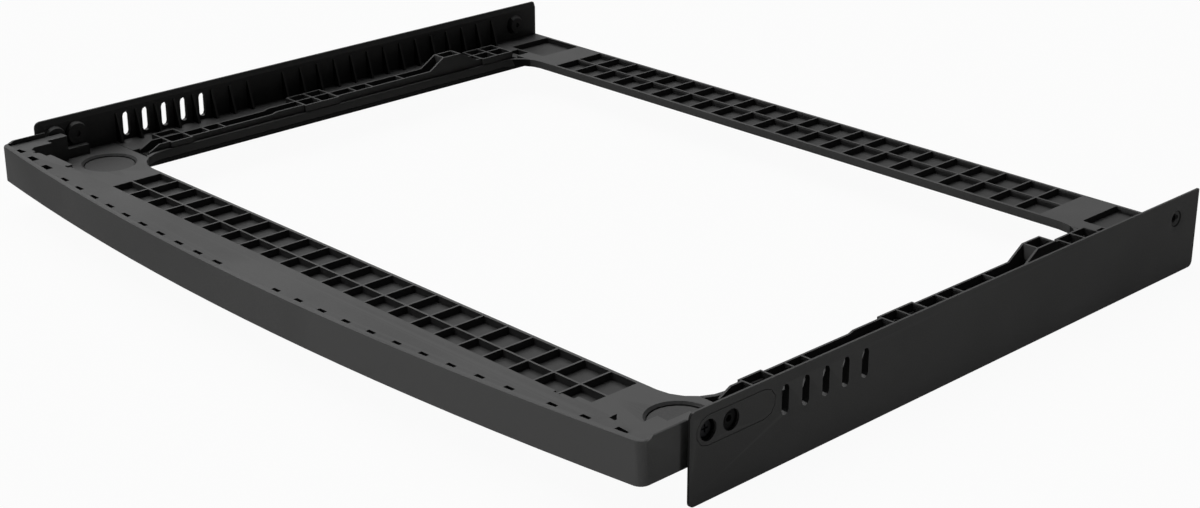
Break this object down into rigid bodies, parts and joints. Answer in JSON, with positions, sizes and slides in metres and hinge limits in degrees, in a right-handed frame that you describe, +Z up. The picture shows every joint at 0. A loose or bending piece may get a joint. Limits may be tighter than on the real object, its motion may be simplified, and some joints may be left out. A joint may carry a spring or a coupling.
{
  "type": "washer dryer stacking kit",
  "caption": "Low rectangular frame with a bowed front cover, cell trays and tall side plates that stands a tumble dryer on a washing machine and stops it sliding off",
  "frame": {"origin": "Middle of the overall box in X and Y, on the level of the side plates' bottom edges, which are the lowest points", "axes": "+X to the right when facing the bowed front cover, +Y from the front cover to the rear, +Z up"},
  "size_m": [0.6, 0.4892, 0.0505],
  "materials": {
    "charcoal_plastic": "fine moulded grain, charcoal",
    "black_plastic": "smooth matt moulding, black",
    "black_rubber": "soft matt elastomer, black",
    "blackened_steel": "blackened zinc"
  },
  "bodies": {
    "root": {"right_side_plate": "black_plastic", "left_side_plate": "black_plastic", "right_screw_insert": "black_plastic", "left_screw_insert": "black_plastic", "right_ribbed_rail": "black_plastic", "left_ribbed_rail": "black_plastic", "right_anti_slip_strip": "black_rubber", "left_anti_slip_strip": "black_rubber", "front_tray": "charcoal_plastic", "rear_tray": "charcoal_plastic", "front_beam": "charcoal_plastic", "fascia_cover": "charcoal_plastic", "right_foot_disc": "black_rubber", "left_foot_disc": "black_rubber", "right_front_screw": "blackened_steel", "left_front_screw": "blackened_steel", "front_right_joint_screw_1": "blackened_steel", "front_right_joint_screw_2": "blackened_steel", "front_left_joint_screw_1": "blackened_steel", "front_left_joint_screw_2": "blackened_steel", "rear_right_joint_screw_1": "blackened_steel", "rear_right_joint_screw_2": "blackened_steel", "rear_left_joint_screw_1": "blackened_steel", "rear_left_joint_screw_2": "blackened_steel"}
  },
  "joints": []
}
